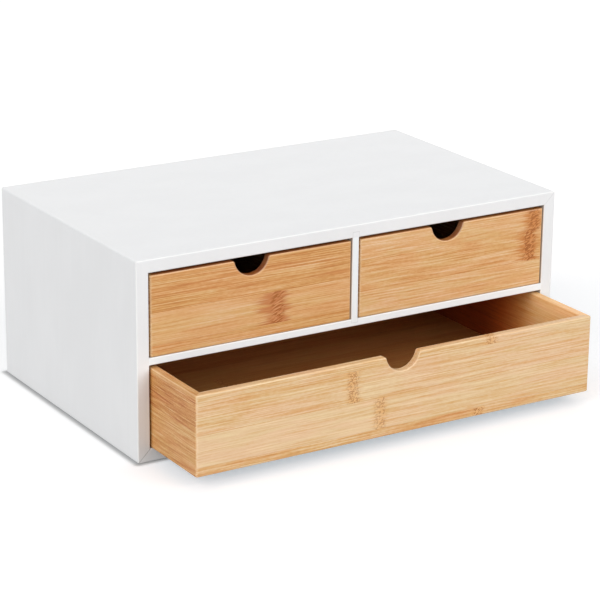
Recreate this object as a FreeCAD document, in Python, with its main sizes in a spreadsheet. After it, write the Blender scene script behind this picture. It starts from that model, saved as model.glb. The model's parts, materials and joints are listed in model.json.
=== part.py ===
import FreeCAD, Part
import math
import os
import re

import Sketcher
from FreeCAD import Placement, Rotation, Vector

# Desktop mini drawers: a white lacquered fibreboard case with mitred corners, a shelf and a divider, which holds
# two narrow bamboo drawers side by side over one wide one. The wide drawer stands pulled out.
# Millimetres. X runs along the width, -Y is the front, +Z is up, and the origin is the centre of the underside.

DRIVING_SIZES = {
    # Case
    "case_width": 330.0,
    "case_depth": 200.0,
    "bay_height": 57.0,
    "panel_thickness": 9.0,
    "case_corner_radius": 1.2,
    "case_arris": 0.8,
    # Shelf and divider, and the grooves that house them
    "shelf_thickness": 5.0,
    "divider_thickness": 5.0,
    "lining_arris": 0.6,
    "panel_housing_depth": 4.0,
    "shelf_housing_depth": 2.5,
    # Back panel, which lies in a rebate, and the brads that hold it
    "back_thickness": 3.0,
    "rebate_width": 4.5,
    "back_fit_gap": 0.3,
    "brad_radius": 0.6,
    "brad_length": 15.0,
    "brad_head_radius": 1.2,
    "brad_head_height": 0.6,
    # Room for the drawers to run
    "left_gap": 1.2,
    "right_gap": 0.4,
    "top_gap": 2.0,
    "front_setback": 0.5,
    "stop_gap": 0.3,
    "wide_drawer_opening": 59.0,
    # Drawer boxes
    "drawer_board": 6.0,
    "drawer_corner_radius": 1.8,
    "drawer_arris": 1.0,
    "bottom_thickness": 3.0,
    "bottom_rise": 4.0,
    "bottom_groove_depth": 3.0,
    "bottom_fit_gap": 0.3,
    # Finger notches
    "narrow_notch_radius": 12.9,
    "narrow_notch_depth": 11.4,
    "wide_notch_radius": 13.2,
    "wide_notch_depth": 11.4,
    "notch_shoulder_radius": 1.8,
    "left_notch_shift": -1.0,
    "right_notch_shift": -5.0,
    # How far a cut runs past the face that it opens
    "overrun": 2.0,
}

LAYOUT_FORMULAS = {
    "case_height": "2 * panel_thickness + 2 * bay_height + shelf_thickness",
    "inner_width": "case_width - 2 * panel_thickness",
    "bay_width": "(inner_width - divider_thickness) / 2",
    "lining_depth": "case_depth - back_thickness",
    "shelf_level": "panel_thickness + bay_height",
    "upper_floor": "shelf_level + shelf_thickness",
    "left_face": "-case_width / 2",
    "front_face": "-case_depth / 2",
    "drawer_height": "bay_height - top_gap",
    "drawer_depth": "lining_depth - front_setback - stop_gap",
    "narrow_drawer_width": "bay_width - left_gap - right_gap",
    "wide_drawer_width": "inner_width - left_gap - right_gap",
    "left_drawer_start": "left_face + panel_thickness + left_gap",
    "right_drawer_start": "divider_thickness / 2 + left_gap",
    "closed_front": "front_face + front_setback",
    "pulled_front": "closed_front - wide_drawer_opening",
    "brad_line": "panel_thickness - rebate_width / 2",
}

# Places of the brads along the panel that they are driven into
LONG_ROW_SHARES = (0.08, 0.36, 0.64, 0.92)
SHORT_ROW_SHARES = (0.28, 0.78)
SHELF_ROW_SHARES = (0.2, 0.8)

ALONG_X = Vector(1, 0, 0)
ALONG_Y = Vector(0, 1, 0)
ALONG_Z = Vector(0, 0, 1)
NEAR = 1e-4

doc = FreeCAD.newDocument("desktop_mini_drawers")


def make_sheet(name, rows):
    """A spreadsheet with one size in each row, named by its alias."""
    sheet = doc.addObject("Spreadsheet::Sheet", name)
    for row, (alias, content) in enumerate(rows.items(), start=1):
        sheet.set(f"A{row}", alias)
        sheet.set(f"B{row}", content)
        sheet.setAlias(f"B{row}", alias)
    return sheet


def bound(formula):
    """The formula with each size's name led by the name of its sheet."""

    def with_sheet(match):
        word = match.group(0)
        if word in DRIVING_SIZES:
            return f"Sizes.{word}"
        return f"Layout.{word}" if word in LAYOUT_FORMULAS else word

    return re.sub(r"[a-z_]+", with_sheet, formula)


def value_of(formula):
    """What a formula of named sizes comes to."""
    return float(layout.evalExpression(bound(formula)))


def bind(thing, name, formula):
    """Ties a property of an object to a formula of named sizes."""
    thing.setExpression(name, bound(formula))


def place(thing, x, y, z, rotation=Rotation()):
    """Turns a sub-part as given and ties its place to formulas."""
    thing.Placement = Placement(Vector(), rotation)
    for axis, formula in (("x", x), ("y", y), ("z", z)):
        bind(thing, f".Placement.Base.{axis}", formula)


def new_body(name):
    body = doc.addObject("PartDesign::Body", name)
    body.Label = name
    return body


def new_sketch(body, name, plane, level="0"):
    """A sketch on one of the body's own planes, or at a level above it."""
    support = next(f for f in body.Origin.OriginFeatures if f.Role == plane)
    sketch = body.newObject("Sketcher::SketchObject", f"{body.Name}_{name}")
    sketch.AttachmentSupport = [(support, "")]
    sketch.MapMode = "FlatFace"
    bind(sketch, ".AttachmentOffset.Base.z", level)
    return sketch


def constrain(sketch, kind, geometry, formula, label):
    """Adds a dimension to a sketch and ties it to a formula. A distance runs from the sketch's origin."""
    size = value_of(formula)
    if kind == "Radius":
        index = sketch.addConstraint(Sketcher.Constraint(kind, geometry[0], size))
    else:
        index = sketch.addConstraint(Sketcher.Constraint(kind, -1, 1, *geometry, size))
    sketch.renameConstraint(index, label)
    bind(sketch, f"Constraints.{label}", formula)


def arc_between(start, end, radius):
    """The anticlockwise arc of less than a half circle from start to end."""
    chord = end - start
    inward = Vector(-chord.y, chord.x, 0).normalize()
    centre = (start + end) / 2 + inward * math.sqrt(radius**2 - (chord.Length / 2) ** 2)
    angles = [math.atan2(point.y - centre.y, point.x - centre.x) for point in (start, end)]
    return Part.ArcOfCircle(Part.Circle(centre, ALONG_Z, radius), *angles)


def draw_outline(sketch, corners, arc_radii=()):
    """A closed anticlockwise outline through corners given as formulas. arc_radii gives the radius of each stretch
    that is round, by the number of the corner where it starts."""
    arc_radii = dict(arc_radii)
    points = [Vector(value_of(x), value_of(y), 0) for x, y in corners]
    for number, start in enumerate(points):
        end = points[(number + 1) % len(points)]
        if number in arc_radii:
            stretch = arc_between(start, end, value_of(arc_radii[number]))
        else:
            stretch = Part.LineSegment(start, end)
        sketch.addGeometry(stretch, False)
    for number, (x, y) in enumerate(corners):
        following = (number + 1) % len(points)
        sketch.addConstraint(Sketcher.Constraint("Coincident", number, 2, following, 1))
        constrain(sketch, "DistanceX", (number, 1), x, f"across_{number}")
        constrain(sketch, "DistanceY", (number, 1), y, f"up_{number}")
    for number, radius in arc_radii.items():
        constrain(sketch, "Radius", (number,), radius, f"radius_{number}")


def draw_rectangle(sketch, left, bottom, right, top):
    draw_outline(sketch, [(left, bottom), (right, bottom), (right, top), (left, top)])


def draw_circles(sketch, centres, radius):
    for number, (x, y) in enumerate(centres):
        centre = Vector(value_of(x), value_of(y), 0)
        sketch.addGeometry(Part.Circle(centre, ALONG_Z, value_of(radius)), False)
        constrain(sketch, "DistanceX", (number, 3), x, f"across_{number}")
        constrain(sketch, "DistanceY", (number, 3), y, f"up_{number}")
        constrain(sketch, "Radius", (number,), radius, f"radius_{number}")


def pad(body, sketch, length, reverse=False):
    feature = body.newObject("PartDesign::Pad", f"{sketch.Name}_pad")
    feature.Profile = sketch
    feature.Reversed = reverse
    bind(feature, "Length", length)
    doc.recompute()
    return feature


def pocket(body, sketch, length=None, reverse=False):
    """Cuts the sketch into the body, right through unless a length is given."""
    before = body.Shape.Volume
    feature = body.newObject("PartDesign::Pocket", f"{sketch.Name}_pocket")
    feature.Profile = sketch
    feature.Reversed = reverse
    if length:
        bind(feature, "Length", length)
    else:
        feature.Type = "ThroughAll"
    doc.recompute()
    if body.Shape.Volume > before - NEAR:
        raise ValueError(f"{feature.Name} cuts nothing")
    return feature


def fillet(body, radius, wanted):
    """Rounds each edge of the body whose ends and middle all pass the test."""

    def passes(edge):
        middle = edge.valueAt((edge.FirstParameter + edge.LastParameter) / 2)
        return all(wanted(point) for point in (edge.firstVertex().Point, middle, edge.lastVertex().Point))

    base = body.Tip
    names = [f"Edge{number}" for number, edge in enumerate(base.Shape.Edges, start=1) if passes(edge)]
    if not names:
        raise ValueError(f"{body.Name} has no such edge to round")
    feature = body.newObject("PartDesign::Fillet", f"{base.Name}_fillet")
    feature.Base = (base, names)
    bind(feature, "Radius", radius)
    doc.recompute()
    return feature


def mitred_board(name, length, width, thickness, corner_radius):
    """A board with mitred ends. It lies along X with its outer face at Y zero, its inner face at Y = thickness and
    its width from Z zero upwards. The sharp outer ends are eased as half of the finished box's rounded corner."""
    body = new_body(name)
    ease = f"{corner_radius} * (1 - cos(45))"
    outline = new_sketch(body, "outline", "XY_Plane")
    corners = [
        (corner_radius, "0"),
        (f"{length} - {corner_radius}", "0"),
        (f"{length} - {ease}", ease),
        (f"{length} - {thickness}", thickness),
        (thickness, thickness),
        (ease, ease),
    ]
    draw_outline(outline, corners, {1: corner_radius, 5: corner_radius})
    pad(body, outline, width)
    return body


def cross_groove(body, name, start, width, depth, thickness):
    """A groove across the inner face of a mitred board, from one edge of the board to the other."""
    sketch = new_sketch(body, name, "XY_Plane")
    draw_rectangle(sketch, start, f"{thickness} - {depth}", f"{start} + {width}", f"{thickness} + overrun")
    pocket(body, sketch, reverse=True)


def long_groove(body, name, bottom, top, depth, thickness):
    """A groove or rebate along the inner face of a mitred board, from end to end."""
    sketch = new_sketch(body, name, "YZ_Plane")
    draw_rectangle(sketch, f"{thickness} - {depth}", bottom, f"{thickness} + overrun", top)
    pocket(body, sketch, reverse=True)


def ease_edges(body, radius, level, thickness, corner_radius, reach="0"):
    """Rounds the outer and inner long edges of a mitred board at one level, and what lies within reach below it."""
    height = value_of(level)
    lowest = height - value_of(reach) - NEAR
    outer_limit = value_of(corner_radius)
    inner_face = value_of(thickness)

    def wanted(point):
        on_level = lowest < point.z < height + NEAR
        return on_level and (point.y < outer_limit or point.y > inner_face - NEAR)

    def outer(point):
        return wanted(point) and point.y < outer_limit

    def inner(point):
        return wanted(point) and point.y > inner_face - NEAR

    fillet(body, radius, outer)
    fillet(body, radius, inner)


def brad_places(shares, length):
    return [f"{share} * {length}" for share in shares]


def case_panel(name, length, brad_shares, groove=None):
    """One of the four outer panels of the case, with its front edge at Z zero: groove, rebate, pilot holes, edges."""
    body = mitred_board(name, length, "case_depth", "panel_thickness", "case_corner_radius")
    if groove:
        cross_groove(body, "housing", *groove, "panel_housing_depth", "panel_thickness")
    long_groove(body, "rebate", "lining_depth", "case_depth + overrun", "rebate_width", "panel_thickness")
    pilots = new_sketch(body, "pilots", "XY_Plane", "lining_depth")
    draw_circles(pilots, [(along, "brad_line") for along in brad_places(brad_shares, length)], "brad_radius")
    pocket(body, pilots, "brad_length - back_thickness")
    ease_edges(body, "case_arris", "0", "panel_thickness", "case_corner_radius")
    ease_outer_back(body)
    return body


def ease_outer_back(body):
    """Rounds the outer edge of a case panel at the back."""
    back = value_of("case_depth")
    outer_limit = value_of("case_corner_radius")
    fillet(body, "case_arris", lambda point: point.z > back - NEAR and point.y < outer_limit)


def make_case_panels():
    groove_start = "case_width / 2 - divider_thickness / 2"
    top = case_panel("top_panel", "case_width", LONG_ROW_SHARES, (groove_start, "divider_thickness"))
    place(top, "left_face", "front_face", "case_height", Rotation(ALONG_X, -ALONG_Z, ALONG_Y, "XYZ"))
    bottom = case_panel("bottom_panel", "case_width", LONG_ROW_SHARES)
    place(bottom, "-left_face", "front_face", "0", Rotation(-ALONG_X, ALONG_Z, ALONG_Y, "XYZ"))
    left = case_panel("left_side", "case_height", SHORT_ROW_SHARES, ("shelf_level", "shelf_thickness"))
    place(left, "left_face", "front_face", "0", Rotation(ALONG_Z, ALONG_X, ALONG_Y, "XYZ"))
    right_groove = ("case_height - upper_floor", "shelf_thickness")
    right_shares = [1 - share for share in SHORT_ROW_SHARES]
    right = case_panel("right_side", "case_height", right_shares, right_groove)
    place(right, "-left_face", "front_face", "case_height", Rotation(-ALONG_Z, -ALONG_X, ALONG_Y, "XYZ"))
    return [top, bottom, left, right]


def make_shelf():
    """The board between the two rows of drawers. Its square ends are housed in the case's sides."""
    body = new_body("shelf")
    outline = new_sketch(body, "outline", "XY_Plane")
    draw_rectangle(outline, "0", "0", "inner_width", "lining_depth")
    pad(body, outline, "shelf_thickness")
    fillet(body, "lining_arris", lambda point: point.y < NEAR and is_at_face(point.z, "shelf_thickness"))
    for name, start, end in (
        ("left_end", "-panel_housing_depth", "0"),
        ("right_end", "inner_width", "inner_width + panel_housing_depth"),
    ):
        tongue = new_sketch(body, name, "XY_Plane")
        draw_rectangle(tongue, start, "0", end, "lining_depth")
        pad(body, tongue, "shelf_thickness")
    groove = new_sketch(body, "housing", "XZ_Plane", "overrun")
    floor = "shelf_thickness - shelf_housing_depth"
    draw_rectangle(groove, "bay_width", floor, "bay_width + divider_thickness", "shelf_thickness + overrun")
    pocket(body, groove)
    pilots = new_sketch(body, "pilots", "XZ_Plane", "-lining_depth")
    centres = [(along, "shelf_thickness / 2") for along in brad_places(SHELF_ROW_SHARES, "inner_width")]
    draw_circles(pilots, centres, "brad_radius")
    pocket(body, pilots, "brad_length - back_thickness", reverse=True)
    place(body, "left_face + panel_thickness", "front_face", "shelf_level")
    return body


def is_at_face(place_along, thickness):
    """True at either face of a board that starts at zero."""
    return place_along < NEAR or place_along > value_of(thickness) - NEAR


def make_divider():
    """The upright between the narrow drawers. Its square ends are housed in the top panel and the shelf."""
    body = new_body("divider")
    outline = new_sketch(body, "outline", "XY_Plane")
    draw_rectangle(outline, "0", "0", "divider_thickness", "lining_depth")
    pad(body, outline, "bay_height")
    fillet(body, "lining_arris", lambda point: point.y < NEAR and is_at_face(point.x, "divider_thickness"))
    for name, level, length in (
        ("head", "bay_height", "panel_housing_depth"),
        ("foot", "-shelf_housing_depth", "shelf_housing_depth"),
    ):
        tongue = new_sketch(body, name, "XY_Plane", level)
        draw_rectangle(tongue, "0", "0", "divider_thickness", "lining_depth")
        pad(body, tongue, length)
    place(body, "-divider_thickness / 2", "front_face", "upper_floor")
    return body


def brad_centres():
    """Where each brad stands on the back of the case, as formulas of X and Z."""
    centres = []
    for along in brad_places(LONG_ROW_SHARES, "case_width"):
        centres.append((f"left_face + {along}", "case_height - brad_line"))
        centres.append((f"left_face + {along}", "brad_line"))
    for up in brad_places(SHORT_ROW_SHARES, "case_height"):
        centres.append(("left_face + brad_line", up))
        centres.append(("-left_face - brad_line", up))
    for along in brad_places(SHELF_ROW_SHARES, "inner_width"):
        centres.append((f"left_face + panel_thickness + {along}", "shelf_level + shelf_thickness / 2"))
    return centres


def make_back_panel():
    """The thin panel in the rebate at the back, with a countersunk place for each brad's head."""
    body = new_body("back_panel")
    margin = "panel_thickness - rebate_width + back_fit_gap"
    outline = new_sketch(body, "outline", "XZ_Plane")
    draw_rectangle(
        outline,
        f"left_face + {margin}",
        margin,
        f"-left_face - ({margin})",
        f"case_height - ({margin})",
    )
    pad(body, outline, "back_thickness", reverse=True)
    for name, radius, depth in (
        ("shanks", "brad_radius", None),
        ("heads", "brad_head_radius", "brad_head_height"),
    ):
        holes = new_sketch(body, name, "XZ_Plane", "-back_thickness")
        draw_circles(holes, brad_centres(), radius)
        pocket(body, holes, depth, reverse=True)
    place(body, "0", "front_face + lining_depth", "0")
    return body


def round_bar(name, radius, length, x, y, z):
    """A cylinder that runs along Y from the given place."""
    bar = doc.addObject("Part::Cylinder", name)
    bind(bar, "Radius", radius)
    bind(bar, "Height", length)
    place(bar, x, y, z, Rotation(ALONG_X, -90))
    return bar


def make_brads():
    """The brads through the back panel, each a shank with a flat head flush with the panel."""
    brads = []
    for number, (x, z) in enumerate(brad_centres()):
        shank_start = "-front_face - brad_length"
        head_start = "-front_face - brad_head_height"
        shank = round_bar(f"shank_{number}", "brad_radius", "brad_length", x, shank_start, z)
        head = round_bar(f"head_{number}", "brad_head_radius", "brad_head_height", x, head_start, z)
        brad = doc.addObject("Part::Fuse", f"brad_{number}")
        brad.Base = shank
        brad.Tool = head
        brads.append(brad)
    group = doc.addObject("Part::Compound", "back_panel_brads")
    group.Label = "back_panel_brads"
    group.Links = brads
    return group


def drawer_board(name, length):
    """A mitred bamboo board with the groove for the drawer's bottom near its lower edge."""
    body = mitred_board(name, length, "drawer_height", "drawer_board", "drawer_corner_radius")
    groove_top = "bottom_rise + bottom_thickness"
    long_groove(body, "groove", "bottom_rise", groove_top, "bottom_groove_depth", "drawer_board")
    return body


def ease_drawer_board(body, reach="0"):
    """Rounds both top edges of a drawer board, with any notch in them, and its lower outer edge."""
    ease_edges(body, "drawer_arris", "drawer_height", "drawer_board", "drawer_corner_radius", reach)
    outer_limit = value_of("drawer_corner_radius")
    fillet(body, "drawer_arris", lambda point: point.z < NEAR and point.y < outer_limit)


def cut_notch(body, middle, radius, depth):
    """A round finger notch in the top edge of a drawer's front, with rounded shoulders."""
    notch = new_sketch(body, "notch", "XZ_Plane")
    draw_circles(notch, [(middle, f"drawer_height - {depth} + {radius}")], radius)
    pocket(body, notch)
    top = value_of("drawer_height")
    first = value_of(f"{middle} - {radius} - overrun")
    last = value_of(f"{middle} + {radius} + overrun")
    face = value_of("drawer_board")

    def on_shoulder(point):
        return point.z > top - NEAR and first < point.x < last and -NEAR < point.y < face + NEAR

    def crosses(edge):
        return abs(edge.firstVertex().Point.y - edge.lastVertex().Point.y) > face / 2

    base = body.Tip
    names = [
        f"Edge{number}"
        for number, edge in enumerate(base.Shape.Edges, start=1)
        if crosses(edge) and on_shoulder(edge.firstVertex().Point) and on_shoulder(edge.lastVertex().Point)
    ]
    shoulders = body.newObject("PartDesign::Fillet", f"{body.Name}_shoulders")
    shoulders.Base = (base, names)
    bind(shoulders, "Radius", "notch_shoulder_radius")
    doc.recompute()


def make_drawer(name, width, left, front, floor, notch):
    """Four mitred boards round a bottom that lies in their grooves. notch gives its middle, radius and depth."""
    face = drawer_board(f"{name}_front", width)
    cut_notch(face, *notch)
    ease_drawer_board(face, notch[2])
    place(face, left, front, floor)

    back = drawer_board(f"{name}_back", width)
    ease_drawer_board(back)
    place(back, f"{left} + {width}", f"{front} + drawer_depth", floor, Rotation(ALONG_Z, 180))

    left_side = drawer_board(f"{name}_left_side", "drawer_depth")
    ease_drawer_board(left_side)
    place(left_side, left, f"{front} + drawer_depth", floor, Rotation(ALONG_Z, -90))

    right_side = drawer_board(f"{name}_right_side", "drawer_depth")
    ease_drawer_board(right_side)
    place(right_side, f"{left} + {width}", front, floor, Rotation(ALONG_Z, 90))

    inset = "(drawer_board - bottom_groove_depth + bottom_fit_gap)"
    bottom = doc.addObject("Part::Box", f"{name}_bottom")
    bottom.Label = f"{name}_bottom"
    bind(bottom, "Length", f"{width} - 2 * {inset}")
    bind(bottom, "Width", f"drawer_depth - 2 * {inset}")
    bind(bottom, "Height", "bottom_thickness")
    place(bottom, f"{left} + {inset}", f"{front} + {inset}", f"{floor} + bottom_rise")
    return [face, back, left_side, right_side, bottom]


def make_drawers():
    narrow_notch = ("narrow_notch_radius", "narrow_notch_depth")
    left = make_drawer(
        "upper_left_drawer",
        "narrow_drawer_width",
        "left_drawer_start",
        "closed_front",
        "upper_floor",
        ("narrow_drawer_width / 2 + left_notch_shift", *narrow_notch),
    )
    right = make_drawer(
        "upper_right_drawer",
        "narrow_drawer_width",
        "right_drawer_start",
        "closed_front",
        "upper_floor",
        ("narrow_drawer_width / 2 + right_notch_shift", *narrow_notch),
    )
    wide = make_drawer(
        "lower_drawer",
        "wide_drawer_width",
        "left_drawer_start",
        "pulled_front",
        "panel_thickness",
        ("wide_drawer_width / 2", "wide_notch_radius", "wide_notch_depth"),
    )
    return left + right + wide


def check_document(subparts):
    """Stops before anything is written if an object failed or a sub-part's shape is not sound."""
    doc.recompute()
    for thing in doc.Objects:
        if "Invalid" in thing.State or "Error" in thing.State:
            raise ValueError(f"{thing.Name} failed: {thing.State}")
    for subpart in subparts:
        if subpart.Shape.isNull() or not subpart.Shape.isValid():
            raise ValueError(f"{subpart.Label} has no sound shape")


def write_parts(subparts):
    os.makedirs("parts", exist_ok=True)
    for subpart in subparts:
        subpart.Shape.exportStep(f"parts/{subpart.Label}.step")
        print(subpart.Label, f"{subpart.Shape.Volume:.1f} mm3", len(subpart.Shape.Solids), "solids")


sizes = make_sheet("Sizes", {alias: str(size) for alias, size in DRIVING_SIZES.items()})
doc.recompute()
layout = make_sheet("Layout", {alias: f"={bound(formula)}" for alias, formula in LAYOUT_FORMULAS.items()})
doc.recompute()

subparts = make_case_panels() + [make_shelf(), make_divider(), make_back_panel(), make_brads()] + make_drawers()
check_document(subparts)
write_parts(subparts)
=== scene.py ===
import json
import math
import random

import bpy
from mathutils import Matrix, Vector


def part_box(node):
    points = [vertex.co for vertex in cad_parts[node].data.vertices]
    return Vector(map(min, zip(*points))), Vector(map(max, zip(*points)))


# The looks of the desktop mini drawers: a white lacquered case and three boxes of flat-pressed bamboo.
# Metres in the scene. The materials work in millimetres, in the frame of the part.
# A value whose name ends in STEP says where a smooth step begins and where it ends.
# A value whose name ends in SPAN says what 0 and 1 become.

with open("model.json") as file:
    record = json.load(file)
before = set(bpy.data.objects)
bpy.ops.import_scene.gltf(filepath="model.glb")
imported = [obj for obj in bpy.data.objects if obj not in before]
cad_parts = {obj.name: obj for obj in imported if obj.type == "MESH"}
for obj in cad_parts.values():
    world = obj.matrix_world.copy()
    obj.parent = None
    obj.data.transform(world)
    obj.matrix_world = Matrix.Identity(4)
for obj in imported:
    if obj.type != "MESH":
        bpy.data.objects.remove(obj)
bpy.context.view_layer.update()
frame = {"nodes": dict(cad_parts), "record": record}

MM = 0.001

# Camera, as the photograph sees the part
CAMERA_PLACE = Vector((-0.82993, -1.36952, 0.58857))
CAMERA_AIM = Vector((0.49976, 0.80658, -0.31572))
CAMERA_ROLL = math.radians(0.59)
CAMERA_LENS = 143.2
CAMERA_SENSOR = 36.0
CAMERA_NEAREST = 0.05
CAMERA_FURTHEST = 100.0

# Light: what a white surface gets from all round, and from each wide lamp, with where the lamp stands and its
# spread. The rays by which the floor and the world are seen, rather than light the object.
SKY_LEVEL = 0.34
LAMPS = {
    "key_lamp": (0.80, Vector((-0.69, -0.25, 0.26)), math.radians(70)),
    "front_lamp": (0.59, Vector((0.20, -0.39, 0.17)), math.radians(50)),
    "back_lamp": (0.26, Vector((0.14, 0.23, 0.09)), math.radians(80)),
}
SEEN_RAYS = ("Is Camera Ray", "Is Glossy Ray", "Is Transmission Ray")

# Floor: its colour for the camera and what is added there so that it comes out white, its colour for the
# object, its width, and the painted contact shadow along the foot of the case: how many millimetres wide, and
# how dark
FLOOR_SEEN = (0.790, 0.700, 0.650)
FLOOR_WHITE = (0.360, 0.434, 0.482)
FLOOR_BOUNCE = (0.32, 0.32, 0.32)
FLOOR_REACH = 40.0
CONTACT_SHADOW_WIDTH = 6.0
CONTACT_SHADOW_DEPTH = 0.80

# Lacquer, in linear light: outside; on the shelf and the divider, paler and cooler as painted light; inside
# the case, darker as painted shade; and on rounded edges, paler as a painted highlight
LACQUER = (0.815, 0.820, 0.828)
LINING_PAINTED_LIGHT = (0.850, 0.885, 0.900)
INSIDE_PAINTED_SHADE = (0.42, 0.35, 0.29)
LACQUER_EDGE_HIGHLIGHT = (0.852, 0.848, 0.840)
LACQUER_DIMMING = (0.97, 0.97, 0.97)
LACQUER_IOR = 1.46

# Noise in the lacquer, in cells to the millimetre along x, y and z
ORANGE_PEEL = dict(cells=(0.9, 0.9, 0.9), seed=1.7)
LACQUER_CLOUDS = dict(cells=(0.02, 0.03, 0.015), seed=5.1, detail=3.0)
ROLLER_MARKS = dict(cells=(0.35, 0.35, 0.02), seed=9.3, detail=1.0)
HIGHLIGHT_BREAKS = dict(cells=(0.2, 0.2, 0.2), seed=3.3)
SEAM_BREAKS = dict(cells=(0.5, 0.5, 0.5), seed=2.2)

# How strongly each layer of the lacquer shows
CLOUD_MIX = dict(clouds=0.8, roller=0.2)
DIMMING_STEP = (0.65, 0.35)
INSIDE_SPAN = (0.8, 1.0)
HIGHLIGHT_BREAKS_STEP = (0.3, 0.7)
HIGHLIGHT_BREAKS_SPAN = (0.75, 1.0)
LACQUER_ROUGHNESS = dict(base=0.36, peel=0.10, clouds=0.12, inside=0.35)
LACQUER_HEIGHT = dict(peel=0.8, roller=0.4, seam=-3.0)
LACQUER_DEPTH = 0.03 * MM

# Hairlines in the lacquer: their colour, how strong they are, and where they fade out, in millimetres
SEAM_GREY = (0.26, 0.25, 0.24)
SEAM_STRENGTH = 0.8
BREAKS_STEP = (0.35, 0.65)
MITRE_SPAN = (0.6, 1.0)
MITRE_STEP = (0.45, 0.15)
MITRE_OVERRUN = 0.2
MITRE_HEIGHT_SHARES = (0.7, 0.2)
RIGHTWARD_STEP = (-60.0, 60.0)
UPPER_RIGHT_MITRE = 0.3
HOUSING_STRENGTH = 0.35
HOUSING_STEP = (0.30, 0.08)
HOUSING_OVERRUNS = (0.25, 0.15)
UPRIGHT_STRENGTH = 0.8

# Where the inside of the case begins, with its painted shade and rougher coat, in millimetres from the
# panels' inner faces and from the front
LINING_STARTS = (0.4, 0.1)
INSIDE_STEP = (0.15, 0.80)

# How far a face turns towards an axis before it counts as facing that way
FACING_STEP = (0.5, 0.9)
END_FACE_STEP = (0.7, 0.9)
NOTCH_FACING_STEP = (0.10, 0.60)

# Bamboo, in linear light, from pale to dark, and the tints that some of it has; the pale colour of rounded
# edges is partly sanded wood and partly painted highlight
BAMBOO_TONES = (
    (0.00, (0.900, 0.700, 0.450)),
    (0.25, (0.750, 0.518, 0.318)),
    (0.375, (0.690, 0.398, 0.175)),
    (0.50, (0.605, 0.288, 0.096)),
    (0.75, (0.430, 0.130, 0.028)),
    (1.00, (0.190, 0.036, 0.009)),
)
PALE_EDGE_AND_HIGHLIGHT = (0.92, 0.72, 0.48)
YELLOWER = (0.965, 1.0, 0.88)
REDDER = (1.0, 0.950, 0.915)
KNOT_MARK = (0.34, 0.105, 0.018)
KNOT_FLECK = (0.82, 0.48, 0.235)
END_GRAIN = (0.29, 0.085, 0.034)
BAMBOO_IOR = 1.40

# Bamboo strips, in millimetres, and how far their joints wander and their fibres sway
STRIP_WIDTH = 21.8
STRIP_JOINT_STEP = (0.40, 0.05)
STRIP_SEED = 3.7
WANDER_CELLS = (0.011, 0.05)
WANDER_SEED = 0.5
WANDER_REACH = 0.9
SWAY_CELLS = (0.014, 0.10)
SWAY_SEED = 1.5
SWAY_REACH = 1.9

# Fibre layers of the bamboo, from broad bands to fine lines, in cells to the millimetre
FIBRE_LAYERS = dict(
    band=dict(seed=0.0, along=0.0045, across=0.13),
    streak=dict(seed=1.0, along=0.0080, across=0.42, detail=2.0),
    fibre=dict(seed=2.0, along=0.015, across=1.00, roughness=0.5),
    thread=dict(seed=2.3, along=0.028, across=1.55),
    pore=dict(seed=2.5, along=0.35, across=0.95),
)
DASHES = dict(seed=3.0, along=0.050, across=0.95)
DASH_STEP = (0.55, 0.66)
GLEAMS = dict(seed=3.5, along=0.045, across=0.90)
GLEAM_STEP = (0.44, 0.34)
HUES = dict(seed=7.0, along=0.022, across=0.11, detail=2.0)
HUE_STEP = (0.36, 0.64)
HUE_STRENGTH = 0.7

# How much each layer of the bamboo darkens it, and what it does to the finish
FIBRE_DARKENING = dict(band=0.06, streak=0.05, fibre=0.32, thread=0.92, pore=0.26)
DASH_DARKENING = 0.055
GLEAM_PALING = 0.03
STRIP_CONTRAST_SPAN = (0.55, 1.45)
STRIP_DARKENING = 0.22
JOINT_DARKENING = 0.06
PALE_EDGE_AND_HIGHLIGHT_STRENGTH = 0.30
BAMBOO_ROUGHNESS = dict(base=0.32, streak=0.16, fibre=0.10)
BAMBOO_HEIGHT = dict(fibre=0.5, streak=0.4, dash=-0.5, joint=-1.5, marks=-0.8, notch_pores=-2.0)
BAMBOO_DEPTH = 0.05 * MM

# The knots' noise, and where their parts begin and end: shares of a knot's own sizes, or millimetres past it
KNOT_JAG = dict(seed=4.0, along=0.0, across=0.30, detail=2.0, roughness=0.7)
KNOT_FRINGE = dict(seed=6.0, along=0.05, across=0.90, roughness=0.6)
KNOT_FRINGE_REACH = 2.6
KNOT_FIELD_STEP = (1.2, 0.2)
KNOT_CORE_STEP = (1.45, 0.45)
KNOT_DASH_SEED = 4.5
KNOT_DASH_DETAIL = 0.5
KNOT_MARK_STEP = (0.48, 0.57)
KNOT_FLECK_STEP = (0.45, 0.36)
KNOT_SHARE_STEP = (0.001, 0.002)
KNOT_PASSED_STEP = (-1.0, 2.0)
KNOT_STRENGTH_SPAN = (0.5, 1.5)

# The cut of a notch: millimetres from the board's ends where it may be, and the pores of its end grain
NOTCH_OFF_END_STEP = (8.0, 12.0)
NOTCH_PORE_CELLS = (0.3, 1.6)
NOTCH_PORE_SEED = 7.0
NOTCH_PORE_SPAN = (0.7, 1.3)

# Painted shade on the inner face of the open drawer's right side: over which millimetres behind the front it
# grows, how strongly the fibres still show in it, how much darker it is, and the tints in front of it, which
# is painted light, and in it
SHADE_STEP = (45.0, 120.0)
SHADE_CALMING = 0.5
SHADE_DEEPENING = 0.68
PAINTED_LIGHT_TINT = (1.16, 1.03, 0.82)
SHADE_TINT = (1.04, 0.78, 0.70)

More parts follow.
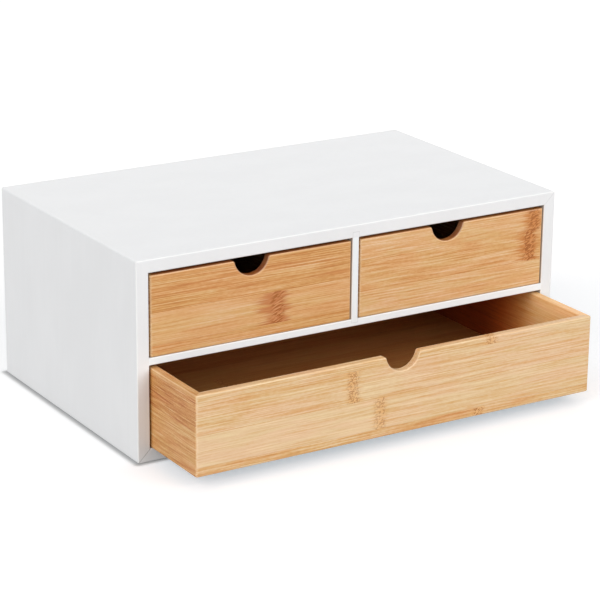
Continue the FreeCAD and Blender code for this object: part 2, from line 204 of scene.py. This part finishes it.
# Hardboard of the back panel
HARDBOARD_WHITE = (0.76, 0.76, 0.74)
HARDBOARD_YELLOWED = (0.79, 0.785, 0.76)
HARDBOARD_PIT = (0.62, 0.60, 0.55)
HARDBOARD_IOR = 1.45
HARDBOARD_PORES = dict(cells=(1.3, 1.3, 1.3), seed=4.0, detail=3.0, roughness=0.7)
HARDBOARD_CLOUDS = dict(cells=(0.015, 0.015, 0.02), seed=6.0)
PIT_STEP = (0.60, 0.75)
PIT_STRENGTH = 0.35
HARDBOARD_ROUGHNESS = dict(base=0.45, pores=0.2)
HARDBOARD_HEIGHT = dict(pores=1.0, pits=-0.5)
HARDBOARD_DEPTH = 0.06 * MM

# Steel of the brads
STEEL = (0.60, 0.60, 0.61)
STEEL_TARNISHED = (0.42, 0.41, 0.40)
TARNISH = dict(cells=(0.6, 0.6, 0.6), seed=8.0, detail=3.0)
TARNISH_STEP = (0.4, 0.7)
TURNING_MARKS = dict(cells=(6.0, 0.5, 1.2), seed=2.0)
STEEL_ROUGHNESS = dict(base=0.15, scratches=0.25, tarnish=0.15)
STEEL_DEPTH = 0.02 * MM

# A knot: half the width of its row of dashes, how jagged the row is, how far its field reaches before and
# after it and the length and thickness of a dash, all in millimetres, how the dashes slant, how strongly the
# field, the dashes and the flecks show, and the field's colour
USUAL_KNOT = dict(
    half_width=3.0,
    jag=4.0,
    field_reach=(5.0, 4.0),
    dash=(1.6, 0.9),
    slant=0.3,
    field=0.5,
    marks=0.6,
    flecks=0.3,
    colour=(0.62, 0.26, 0.080),
)

# A board: its tone from 0, pale, to 1, dark, how far its first strip starts above its edge in millimetres,
# how strongly its fibres show and how long they are, how much painted shade darkens its upward faces, how
# strongly the cut of its notch shows end grain, together with painted shade on the upper drawers' notches,
# its knots, and whether its inner face has the painted shade
USUAL_BOARD = dict(
    tone=0.42,
    offset=9.0,
    contrast=1.0,
    fibre_length=1.0,
    painted_top_shade=0.0,
    notch_grain_and_shade=0.6,
    knot=USUAL_KNOT,
    shaded=False,
)

# Boards that the photograph shows. Their strips, from the top, give the tone of each strip, the place of its
# knot as a share of the board's length, which is 0 where it has none, and its tone past the knot.
SHOWN_BOARDS = {
    "upper_left_drawer_front": dict(
        tone=0.42,
        offset=18.1,
        strips=((0.60, 0.0, 0.60), (0.75, 0.0, 0.70), (0.30, 0.625, 0.35), (0.55, 0.0, 0.55)),
        contrast=0.66,
        fibre_length=1.3,
        painted_top_shade=0.32,
        notch_grain_and_shade=0.80,
        knot=dict(
            half_width=4.8,
            jag=6.0,
            field_reach=(16.0, 9.0),
            dash=(5.0, 0.90),
            slant=0.40,
            field=1.25,
            marks=1.10,
            flecks=0.30,
            colour=(0.515, 0.195, 0.065),
        ),
    ),
    "upper_right_drawer_front": dict(
        tone=0.375,
        offset=7.0,
        strips=((0.42, 0.955, 0.50), (0.58, 0.93, 0.70), (0.42, 0.0, 0.42)),
        contrast=0.62,
        fibre_length=0.8,
        painted_top_shade=0.32,
        notch_grain_and_shade=0.80,
        knot=dict(
            half_width=4.8,
            jag=3.5,
            field_reach=(10.0, 7.0),
            dash=(2.8, 1.05),
            slant=0.45,
            field=1.10,
            marks=0.90,
            flecks=0.15,
            colour=(0.54, 0.205, 0.050),
        ),
    ),
    "lower_drawer_front": dict(
        tone=0.27,
        offset=16.5,
        strips=((0.60, 0.730, 0.45), (0.60, 0.375, 0.50), (0.30, 0.4425, 0.48), (0.95, 0.70, 0.80)),
        contrast=0.62,
        notch_grain_and_shade=0.15,
        knot=dict(
            half_width=4.4,
            jag=3.5,
            field_reach=(6.5, 5.5),
            dash=(1.5, 0.90),
            slant=0.3,
            field=0.60,
            marks=0.52,
            flecks=0.25,
            colour=(0.715, 0.395, 0.145),
        ),
    ),
    "lower_drawer_left_side": dict(
        tone=0.47,
        offset=19.0,
        strips=((0.35, 0.0, 0.35), (0.85, 0.0, 0.85), (0.38, 0.0, 0.38), (0.50, 0.0, 0.50)),
        contrast=0.84,
        fibre_length=0.6,
    ),
    "lower_drawer_right_side": dict(
        tone=0.26,
        offset=12.0,
        strips=((0.45, 0.0, 0.45), (0.55, 0.0, 0.55), (0.5, 0.0, 0.5), (0.5, 0.0, 0.5)),
        contrast=0.45,
        shaded=True,
    ),
    "lower_drawer_back": dict(
        tone=0.75,
        offset=7.0,
    ),
    "lower_drawer_bottom": dict(
        tone=0.58,
        offset=5.0,
        contrast=0.5,
    ),
}

# Random draws: the strips of the boards that the photograph doesn't show, and the step between boards' seeds
STRIPS_SEED = 11
KNOT_CHANCE = 0.5
KNOT_SHARES = (0.08, 0.92)
STRIP_TONES = (0.2, 0.8)
BOARD_SEED = 17.3


def common_box(nodes):
    """The lowest and highest corner of several nodes together."""
    lows, highs = zip(*(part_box(node) for node in nodes))
    return (
        Vector([min(corner[axis] for corner in lows) for axis in range(3)]),
        Vector([max(corner[axis] for corner in highs) for axis in range(3)]),
    )


def corners_in_mm(box):
    return tuple(corner / MM for corner in box)


# Sizes of the case, in millimetres
case_low, case_high = corners_in_mm(common_box(frame["record"]["behaviour"]["bodies"]["case"]))
divider_low, divider_high = corners_in_mm(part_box("divider"))
panel_low, panel_high = corners_in_mm(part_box("top_panel"))
panel_thickness = panel_high.z - panel_low.z


class Field:
    """A number or vector that varies over a surface. Sums with it add shader nodes."""

    def __init__(self, graph, socket):
        self.graph = graph
        self.socket = socket

    def __add__(self, other):
        return self.graph.math("ADD", self, other)

    __radd__ = __add__

    def __sub__(self, other):
        return self.graph.math("SUBTRACT", self, other)

    def __rsub__(self, other):
        return self.graph.math("SUBTRACT", other, self)

    def __mul__(self, other):
        return self.graph.math("MULTIPLY", self, other)

    __rmul__ = __mul__

    def __truediv__(self, other):
        return self.graph.math("DIVIDE", self, other)

    def __neg__(self):
        return self.graph.math("MULTIPLY", self, -1.0)

    def __abs__(self):
        return self.graph.math("ABSOLUTE", self)


class Graph:
    """Short calls that add shader nodes to one node tree."""

    def __init__(self, tree):
        self.tree = tree
        self.tree.nodes.clear()

    def add(self, kind, **settings):
        node = self.tree.nodes.new(kind)
        for name, value in settings.items():
            setattr(node, name, value)
        return node

    def feed(self, socket, value):
        if isinstance(value, Field):
            self.tree.links.new(value.socket, socket)
        else:
            socket.default_value = value

    def math(self, operation, *values, clamp=False):
        node = self.add("ShaderNodeMath", operation=operation, use_clamp=clamp)
        for socket, value in zip(node.inputs, values):
            self.feed(socket, value)
        return Field(self, node.outputs[0])

    def least(self, *values):
        result = values[0]
        for value in values[1:]:
            result = self.math("MINIMUM", result, value)
        return result

    def most(self, *values):
        result = values[0]
        for value in values[1:]:
            result = self.math("MAXIMUM", result, value)
        return result

    def step(self, value, begin, end):
        """A smooth step from 0 at begin to 1 at end. The end may be the lower number."""
        node = self.add("ShaderNodeMapRange", interpolation_type="SMOOTHSTEP")
        for name, given in (("Value", value), ("From Min", begin), ("From Max", end)):
            self.feed(node.inputs[name], given)
        return Field(self, node.outputs["Result"])

    def combine(self, x, y, z):
        node = self.add("ShaderNodeCombineXYZ")
        for socket, value in zip(node.inputs, (x, y, z)):
            self.feed(socket, value)
        return Field(self, node.outputs[0])

    def noise(self, place, seed, detail=2.0, roughness=0.5):
        """Noise from about 0.2 to 0.8, one cell to each unit of place."""
        node = self.add("ShaderNodeTexNoise", noise_dimensions="4D")
        self.feed(node.inputs["Vector"], place)
        self.feed(node.inputs["W"], seed)
        node.inputs["Scale"].default_value = 1.0
        node.inputs["Detail"].default_value = detail
        node.inputs["Roughness"].default_value = roughness
        return Field(self, node.outputs["Factor" if "Factor" in node.outputs else "Fac"])

    def layer(self, place, cells, seed, detail=2.0, roughness=0.5):
        """Noise with so many cells to the millimetre along x, y and z."""
        spread = self.combine(*(place[axis] * count for axis, count in zip("xyz", cells)))
        return self.noise(spread, seed, detail, roughness)

    def ramp(self, value, stops, interpolation="LINEAR"):
        """The colour that the stops give for a value from 0 to 1."""
        node = self.add("ShaderNodeValToRGB")
        node.color_ramp.interpolation = interpolation
        elements = node.color_ramp.elements
        while len(elements) < len(stops):
            elements.new(1.0)
        for element, (position, colour) in zip(elements, stops):
            element.position = position
            element.color = (*colour, 1.0)
        self.feed(node.inputs["Fac"], value)
        return Field(self, node.outputs["Color"])

    def channels(self, colour):
        node = self.add("ShaderNodeSeparateColor")
        self.feed(node.inputs[0], colour)
        return [Field(self, socket) for socket in node.outputs]

    def mix(self, share, first, second, blend="MIX"):
        """Two colours mixed. Each is a Field or three numbers."""
        node = self.add("ShaderNodeMix", data_type="RGBA", blend_type=blend)
        self.feed(node.inputs[0], share)
        for socket, colour in ((node.inputs[6], first), (node.inputs[7], second)):
            self.feed(socket, colour if isinstance(colour, Field) else (*colour, 1.0))
        return Field(self, node.outputs[2])

    def place(self):
        """Where a point is in the frame of the part, in millimetres, by axis."""
        source = self.add("ShaderNodeTexCoord").outputs["Object"]
        scaled = self.add("ShaderNodeVectorMath", operation="SCALE")
        self.tree.links.new(source, scaled.inputs[0])
        scaled.inputs["Scale"].default_value = 1.0 / MM
        return self.axes(scaled.outputs[0])

    def normal(self):
        """Which way the surface faces in the frame of the part, by axis."""
        source = self.add("ShaderNodeTexCoord").outputs["Normal"]
        return self.axes(source)

    def axes(self, socket):
        node = self.add("ShaderNodeSeparateXYZ")
        self.tree.links.new(socket, node.inputs[0])
        return dict(zip("xyz", (Field(self, out) for out in node.outputs)))

    def seen(self):
        """1 for what is seen straight, in a reflection or through glass, and 0 for light that bounces."""
        paths = self.add("ShaderNodeLightPath").outputs
        return self.most(*(Field(self, paths[name]) for name in SEEN_RAYS))

    def bump(self, height, depth):
        """The normal of a surface whose height varies from 0 to 1 times depth in metres."""
        node = self.add("ShaderNodeBump")
        node.inputs["Strength"].default_value = 1.0
        node.inputs["Distance"].default_value = depth
        self.feed(node.inputs["Height"], height)
        return Field(self, node.outputs[0])


def between(value, low, high):
    """A value from 0 to 1 brought to the span from low to high."""
    return value * (high - low) + low


def weigh(layers, base=0.0, **weights):
    """The sum of some layers, each times its weight, and of the base."""
    return sum(layers[name] * weight for name, weight in weights.items()) + base


def new_material(name):
    material = bpy.data.materials.new(name)
    material.use_nodes = True
    return material, Graph(material.node_tree)


def finish_material(graph, colour, roughness, normal, **constants):
    """The shader and output of a surface. Constants are set on the shader's own sockets."""
    shader = graph.add("ShaderNodeBsdfPrincipled")
    graph.feed(shader.inputs["Base Color"], colour)
    graph.feed(shader.inputs["Roughness"], roughness)
    graph.feed(shader.inputs["Normal"], normal)
    for name, value in constants.items():
        shader.inputs[name].default_value = value
    output = graph.add("ShaderNodeOutputMaterial")
    graph.tree.links.new(shader.outputs[0], output.inputs["Surface"])


def rounded_edge(graph, facing, other=None):
    """1 along the middle of a rounded edge between faces that look along two axes, and 0 on those faces. The
    product of the two squares is a quarter at its most."""
    share = facing * facing
    rest = 1.0 - share if other is None else other * other
    return graph.math("MULTIPLY", share * rest, 4.0, clamp=True)


def mitre_seams(graph, place):
    """Hairlines along the case's mitres. They show low down, faintly at the upper right and not at the upper
    left."""
    in_from_side = case_high.x - abs(place["x"])
    in_from_end = graph.least(place["z"] - case_low.z, case_high.z - place["z"])
    off_mitre = abs(in_from_side - in_from_end)
    on_panel = graph.step(in_from_side, panel_thickness + MITRE_OVERRUN, panel_thickness - MITRE_OVERRUN)
    low_down = graph.step(place["z"], *(case_high.z * share for share in MITRE_HEIGHT_SHARES))
    rightward = graph.step(place["x"], *RIGHTWARD_STEP)
    mitre = graph.step(off_mitre, *MITRE_STEP) * on_panel
    return mitre * graph.most(low_down, rightward * UPPER_RIGHT_MITRE)


def housing_seams(graph, place):
    """Hairlines round the divider's ends, which stand in grooves of the top panel and the shelf."""
    fade_out, fade = HOUSING_OVERRUNS
    in_from_ends = graph.least(place["z"] - divider_low.z, divider_high.z - place["z"])
    within_sides = graph.step(abs(place["x"]), divider_high.x + fade_out, divider_high.x + fade)
    within_ends = graph.step(in_from_ends, -fade_out, -fade)
    off_side = abs(abs(place["x"]) - divider_high.x)
    upright = graph.step(off_side, *HOUSING_STEP) * within_ends
    level = graph.step(abs(in_from_ends), *HOUSING_STEP) * within_sides
    return graph.most(upright * UPRIGHT_STRENGTH, level)


def within_panels(graph, place):
    """1 between the case's four outer panels and 0 on what lies in their thickness."""
    in_from_outside = graph.least(
        case_high.x - abs(place["x"]), place["z"] - case_low.z, case_high.z - place["z"]
    )
    return graph.step(in_from_outside, *(panel_thickness - start for start in LINING_STARTS))


def lacquer(name, thickness_axis, white=LACQUER):
    """White satin lacquer sprayed on fibreboard, with a faint orange peel and a painted highlight on rounded
    edges. white is its colour between the outer panels, paler and cooler on the shelf and the divider as
    painted light. The faces inside the case are darker, which is painted shade, and have a duller coat."""
    material, graph = new_material(name)
    place = graph.place()
    facing = graph.normal()
    inner = within_panels(graph, place)
    breaks = graph.step(graph.layer(place, **SEAM_BREAKS), *BREAKS_STEP)
    mitre = mitre_seams(graph, place) * between(breaks, *MITRE_SPAN)
    housing = housing_seams(graph, place) * HOUSING_STRENGTH
    end_face = graph.step(abs(facing["y"]), *END_FACE_STEP)
    layers = dict(
        peel=graph.layer(place, **ORANGE_PEEL),
        clouds=graph.layer(place, **LACQUER_CLOUDS),
        roller=graph.layer(place, **ROLLER_MARKS),
        inside=inner * graph.step(place["y"] - case_low.y, *INSIDE_STEP),
        seam=graph.most(mitre, housing) * end_face * SEAM_STRENGTH,
    )
    # Noise breaks up the painted highlight along the rounded edges
    highlight_breaks = graph.step(graph.layer(place, **HIGHLIGHT_BREAKS), *HIGHLIGHT_BREAKS_STEP)
    edge = rounded_edge(graph, facing[thickness_axis], facing["y"])

    # Between the outer panels the shelf and the divider take their paler, cooler white, which is painted
    # light
    colour = graph.mix(inner, LACQUER, white)
    dimming = graph.step(weigh(layers, **CLOUD_MIX), *DIMMING_STEP)
    colour = graph.mix(dimming, colour, LACQUER_DIMMING, "MULTIPLY")
    # Inside the case the colour is darker: painted shade
    colour = graph.mix(layers["inside"] * between(layers["peel"], *INSIDE_SPAN), colour, INSIDE_PAINTED_SHADE)
    # Rounded edges get a painted highlight
    colour = graph.mix(edge * between(highlight_breaks, *HIGHLIGHT_BREAKS_SPAN), colour, LACQUER_EDGE_HIGHLIGHT)
    colour = graph.mix(layers["seam"], colour, SEAM_GREY)
    roughness = weigh(layers, **LACQUER_ROUGHNESS)
    relief = graph.bump(weigh(layers, **LACQUER_HEIGHT), LACQUER_DEPTH)
    finish_material(graph, colour, roughness, relief, IOR=LACQUER_IOR)
    return material


class Board:
    """Where a point of a bamboo board lies among its strips, in millimetres. axes names the axes along the
    grain, across the strips and through the board."""

    def __init__(self, graph, axes, box, offset, fibre_length, seed):
        place = graph.place()
        start, end = (getattr(corner, axes[0]) / MM for corner in box)
        top = getattr(box[1], axes[1]) / MM
        self.graph = graph
        self.fibre_length = fibre_length
        self.along, across, self.deep = (place[axis] for axis in axes)
        self.length = end - start
        self.from_start = self.along - start
        self.off_end = graph.least(self.from_start, end - self.along)

        along_cells, across_cells = WANDER_CELLS
        wander_place = graph.combine(self.along * along_cells, across * across_cells, 0.0)
        wander = graph.noise(wander_place, seed + WANDER_SEED, 1.0)
        down = top - across + (wander - 0.5) * WANDER_REACH
        strip_place = (down + offset) / STRIP_WIDTH
        self.number = graph.math("FLOOR", strip_place)
        self.within = (strip_place - self.number) * STRIP_WIDTH

        along_cells, across_cells = SWAY_CELLS
        sway_place = graph.combine(self.along * along_cells, down * across_cells, self.deep * across_cells)
        sway = graph.noise(sway_place, seed + SWAY_SEED, 1.0)
        self.line = down + (sway - 0.5) * SWAY_REACH
        self.seed = self.number * STRIP_SEED + seed

    def grain(self, seed, along, across, detail=1.0, roughness=0.55):
        """Noise drawn out along the grain, with so many cells to the millimetre. Each strip has its own."""
        stretched = self.along * (along / self.fibre_length)
        place = self.graph.combine(stretched, self.line * across, self.deep * across)
        return self.graph.noise(place, self.seed + seed, detail, roughness)

    def notch_pores(self, seed):
        """Noise of the pores in the end grain, which is the same in all strips."""
        along, across = NOTCH_PORE_CELLS
        place = self.graph.combine(self.along * along, self.line * across, self.deep * across)
        return self.graph.noise(place, seed + NOTCH_PORE_SEED, 1.0)


def knot_marks(graph, board, share, knot):
    """The field that darkens round a strip's knot, the dark dashes in a jagged row across the strip, the pale
    flecks between them, and how far a point is past the knot."""
    jag = (board.grain(**KNOT_JAG) - 0.5) * knot["jag"]
    off_knot = board.from_start - share * board.length + jag
    fringe = (board.grain(**KNOT_FRINGE) - 0.5) * KNOT_FRINGE_REACH
    before, after = knot["field_reach"]
    reach = graph.most(off_knot / -before, off_knot / after) + fringe
    field = graph.step(reach, *KNOT_FIELD_STEP)
    core = graph.step(abs(off_knot) / knot["half_width"], *KNOT_CORE_STEP)
    length, thickness = knot["dash"]
    run = (board.along - board.line * knot["slant"]) / length
    rise = (board.line + board.along * knot["slant"]) / thickness
    dash_place = graph.combine(run, rise, board.deep / thickness)
    dashes = graph.noise(dash_place, board.seed + KNOT_DASH_SEED, KNOT_DASH_DETAIL)
    marks = graph.step(dashes, *KNOT_MARK_STEP) * core
    flecks = graph.step(dashes, *KNOT_FLECK_STEP) * core
    has_knot = graph.step(share, *KNOT_SHARE_STEP)
    past_knot = graph.step(off_knot, *KNOT_PASSED_STEP)
    return [value * has_knot for value in (field, marks, flecks, past_knot)]


def strip_values(graph, board, strips):
    """The tone of the strip that a point lies in, the place of its knot and its tone past it. They are the
    three channels of a ramp with one stop for each strip."""
    stops = [(number / len(strips), strip) for number, strip in enumerate(strips)]
    own = graph.ramp((board.number + 0.5) / float(len(strips)), stops, "CONSTANT")
    return graph.channels(own)


def fibre_darkness(graph, board, layers):
    """How much darker or paler than its strip the fibres make a point."""
    lines = sum((layers[name] - 0.5) * weight for name, weight in FIBRE_DARKENING.items())
    gleam = graph.step(board.grain(**GLEAMS), *GLEAM_STEP)
    return lines + layers["dash"] * DASH_DARKENING - gleam * GLEAM_PALING


def bamboo(name, axes, box, seed, look):
    """Flat-pressed bamboo under a clear satin finish. axes names the axes along the grain, across the strips
    and through the board. Darker strips show their fibres and their knots more. Some boards get painted shade
    on their upward faces, in their notches or on the inner face of the open drawer's right side, with painted
    light in front of it, and rounded edges are paler, partly sanded wood and partly painted highlight."""
    material, graph = new_material(name)
    facing = graph.normal()
    board = Board(graph, axes, box, look["offset"], look["fibre_length"], seed)
    knot = look["knot"]
    first_tone, knot_share, last_tone = strip_values(graph, board, look["strips"])
    field, marks, flecks, past_knot = knot_marks(graph, board, knot_share, knot)
    own_tone = between(past_knot, first_tone, last_tone)
    # Painted shade towards the back of the open drawer's right side, on its inner face
    shade = 0.0
    if look["shaded"]:
        shade = graph.step(board.from_start, *SHADE_STEP) * graph.step(-facing[axes[2]], *FACING_STEP)

    # The cut of a notch shows end grain; on the upper drawers' fronts it is darkened further as painted shade
    pores = board.notch_pores(seed)
    off_end = graph.step(board.off_end, *NOTCH_OFF_END_STEP)
    in_notch = graph.step(abs(facing[axes[0]]), *NOTCH_FACING_STEP) * off_end

    layers = {name: board.grain(**layer) for name, layer in FIBRE_LAYERS.items()}
    layers["dash"] = graph.step(board.grain(**DASHES), *DASH_STEP)
    layers["joint"] = graph.step(graph.least(board.within, STRIP_WIDTH - board.within), *STRIP_JOINT_STEP)
    layers["marks"] = marks
    layers["notch_pores"] = in_notch * pores

    lines = fibre_darkness(graph, board, layers) * between(own_tone, *STRIP_CONTRAST_SPAN)
    darkness = (
        lines * between(shade, 1.0, SHADE_CALMING) * look["contrast"]
        + (own_tone - 0.5) * STRIP_DARKENING
        + layers["joint"] * JOINT_DARKENING
        + shade * SHADE_DEEPENING
        # Painted shade on upward faces, such as the top edges of the upper drawers' fronts
        + graph.step(facing["z"], *FACING_STEP) * look["painted_top_shade"]
        + look["tone"]
    )
    colour = graph.ramp(darkness, BAMBOO_TONES)
    hue = graph.step(board.grain(**HUES), *HUE_STEP)
    colour = graph.mix(HUE_STRENGTH, colour, graph.mix(hue, YELLOWER, REDDER), "MULTIPLY")
    # Painted light in front of the painted shade, and a redder tint in it
    if look["shaded"]:
        colour = graph.mix(1.0, colour, graph.mix(shade, PAINTED_LIGHT_TINT, SHADE_TINT), "MULTIPLY")
    strength = between(own_tone, *KNOT_STRENGTH_SPAN)
    colour = graph.mix(field * strength * knot["field"], colour, knot["colour"])
    colour = graph.mix(marks * strength * knot["marks"], colour, KNOT_MARK)
    colour = graph.mix(flecks * strength * knot["flecks"], colour, KNOT_FLECK)
    # End grain in the notch, with painted shade added on the upper drawers' fronts
    end_grain = in_notch * between(pores, *NOTCH_PORE_SPAN) * look["notch_grain_and_shade"]
    colour = graph.mix(end_grain, colour, END_GRAIN)
    # Rounded edges are paler: partly sanded wood, partly painted highlight
    edge = rounded_edge(graph, facing[axes[2]])
    colour = graph.mix(edge * PALE_EDGE_AND_HIGHLIGHT_STRENGTH, colour, PALE_EDGE_AND_HIGHLIGHT)
    relief = graph.bump(weigh(layers, **BAMBOO_HEIGHT), BAMBOO_DEPTH)
    finish_material(graph, colour, weigh(layers, **BAMBOO_ROUGHNESS), relief, IOR=BAMBOO_IOR)
    return material


def hardboard(name):
    """Thin white-faced hardboard: fine pores and a slight yellowing."""
    material, graph = new_material(name)
    place = graph.place()
    pores = graph.layer(place, **HARDBOARD_PORES)
    layers = dict(pores=pores, pits=graph.step(pores, *PIT_STEP))
    colour = graph.mix(graph.layer(place, **HARDBOARD_CLOUDS), HARDBOARD_WHITE, HARDBOARD_YELLOWED)
    colour = graph.mix(layers["pits"] * PIT_STRENGTH, colour, HARDBOARD_PIT)
    relief = graph.bump(weigh(layers, **HARDBOARD_HEIGHT), HARDBOARD_DEPTH)
    finish_material(graph, colour, weigh(layers, **HARDBOARD_ROUGHNESS), relief, IOR=HARDBOARD_IOR)
    return material


def brad_steel(name):
    """Plain steel with turning marks and a little tarnish."""
    material, graph = new_material(name)
    place = graph.place()
    layers = dict(tarnish=graph.layer(place, **TARNISH), scratches=graph.layer(place, **TURNING_MARKS))
    colour = graph.mix(graph.step(layers["tarnish"], *TARNISH_STEP), STEEL, STEEL_TARNISHED)
    relief = graph.bump(layers["scratches"], STEEL_DEPTH)
    finish_material(graph, colour, weigh(layers, **STEEL_ROUGHNESS), relief, Metallic=1.0)
    return material


def dress(node, material):
    """Gives a CAD node its material."""
    slots = frame["nodes"][node].data.materials
    slots.clear()
    slots.append(material)


def dress_case():
    level = lacquer("white_lacquer_level", "z")
    upright = lacquer("white_lacquer_upright", "x")
    dress("top_panel", level)
    dress("bottom_panel", level)
    dress("left_side", upright)
    dress("right_side", upright)
    # The shelf and the divider get a paler, cooler white: painted light
    dress("shelf", lacquer("white_lacquer_shelf", "z", LINING_PAINTED_LIGHT))
    dress("divider", lacquer("white_lacquer_divider", "x", LINING_PAINTED_LIGHT))
    dress("back_panel", hardboard("white_hardboard"))
    dress("back_panel_brads", brad_steel("brad_steel"))


def random_strips(picker, count):
    """Strips of slightly different tone, some of them with a knot."""
    strips = []
    for _ in range(count):
        knot_share = picker.uniform(*KNOT_SHARES) if picker.random() < KNOT_CHANCE else 0.0
        strips.append((picker.uniform(*STRIP_TONES), knot_share, picker.uniform(*STRIP_TONES)))
    return strips


def board_axes(node):
    """The axes along the grain, across the strips and through a drawer's board."""
    if node.endswith("_bottom"):
        return "xyz"
    return "yzx" if node.endswith("_side") else "xzy"


def dress_drawers():
    picker = random.Random(STRIPS_SEED)
    for number, node in enumerate(sorted(name for name in frame["nodes"] if "_drawer_" in name)):
        axes = board_axes(node)
        low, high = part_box(node)
        across = (getattr(high, axes[1]) - getattr(low, axes[1])) / MM
        strips = random_strips(picker, math.ceil(across / STRIP_WIDTH) + 1)
        look = {**USUAL_BOARD, "strips": strips, **SHOWN_BOARDS.get(node, {})}
        dress(node, bamboo(f"bamboo_{node}", axes, (low, high), number * BOARD_SEED, look))


def painted_contact_shadow(graph):
    """Painted contact shadow: 1 on the floor right beside the case, where its underside begins, and 0 a few
    millimetres off.
    """
    place = graph.place()
    off_sides = graph.most(abs(place["x"]) - case_high.x, 0.0)
    off_ends = graph.most(case_low.y - place["y"], place["y"] - case_high.y, 0.0)
    off_case = graph.math("SQRT", off_sides * off_sides + off_ends * off_ends)
    return graph.step(off_case, CONTACT_SHADOW_WIDTH, 0.0)


def make_floor():
    """A plain pale floor that keeps the shadow, with a painted contact shadow along the foot of the case, and
    comes out white for the camera.
    """
    mesh = bpy.data.meshes.new("floor")
    reach = FLOOR_REACH / 2
    corners = [(-reach, -reach, 0.0), (reach, -reach, 0.0), (reach, reach, 0.0), (-reach, reach, 0.0)]
    mesh.from_pydata(corners, [], [(0, 1, 2, 3)])
    floor = bpy.data.objects.new("floor", mesh)
    bpy.context.scene.collection.objects.link(floor)
    material, graph = new_material("floor")
    # The painted contact shadow along the foot of the case dims the floor
    contact_shadow_dimming = 1.0 - painted_contact_shadow(graph) * CONTACT_SHADOW_DEPTH
    lit = graph.seen() * contact_shadow_dimming
    matte = graph.add("ShaderNodeBsdfDiffuse")
    graph.feed(matte.inputs["Color"], graph.mix(lit, FLOOR_BOUNCE, FLOOR_SEEN))
    glow = graph.add("ShaderNodeEmission")
    glow.inputs["Color"].default_value = (*FLOOR_WHITE, 1.0)
    graph.feed(glow.inputs["Strength"], lit)
    both = graph.add("ShaderNodeAddShader")
    graph.tree.links.new(matte.outputs[0], both.inputs[0])
    graph.tree.links.new(glow.outputs[0], both.inputs[1])
    output = graph.add("ShaderNodeOutputMaterial")
    graph.tree.links.new(both.outputs[0], output.inputs["Surface"])
    mesh.materials.append(material)


def make_world():
    """White where it is seen, and the level of the light all round for everything else."""
    world = bpy.data.worlds.new("studio")
    bpy.context.scene.world = world
    world.use_nodes = True
    graph = Graph(world.node_tree)
    background = graph.add("ShaderNodeBackground")
    background.inputs["Color"].default_value = (1.0, 1.0, 1.0, 1.0)
    graph.feed(background.inputs["Strength"], between(graph.seen(), SKY_LEVEL, 1.0))
    output = graph.add("ShaderNodeOutputWorld")
    graph.tree.links.new(background.outputs[0], output.inputs["Surface"])


def make_lamp(name, level, source, spread):
    """A wide soft lamp, far away. A white surface that faces it comes out at its level."""
    light = bpy.data.lights.new(name, "SUN")
    light.energy = level * math.pi
    light.angle = spread
    lamp = bpy.data.objects.new(name, light)
    lamp.rotation_mode = "QUATERNION"
    lamp.rotation_quaternion = source.to_track_quat("Z", "Y")
    bpy.context.scene.collection.objects.link(lamp)


def make_camera():
    data = bpy.data.cameras.new("camera")
    data.lens = CAMERA_LENS
    data.sensor_width = CAMERA_SENSOR
    data.clip_start = CAMERA_NEAREST
    data.clip_end = CAMERA_FURTHEST
    camera = bpy.data.objects.new("camera", data)
    turn = CAMERA_AIM.to_track_quat("-Z", "Y").to_matrix() @ Matrix.Rotation(CAMERA_ROLL, 3, "Z")
    camera.matrix_world = Matrix.Translation(CAMERA_PLACE) @ turn.to_4x4()
    bpy.context.scene.collection.objects.link(camera)
    bpy.context.scene.camera = camera


make_camera()
make_world()
for name, (level, source, spread) in LAMPS.items():
    make_lamp(name, level, source, spread)
make_floor()
dress_case()
dress_drawers()
bpy.context.scene.view_settings.view_transform = "Standard"
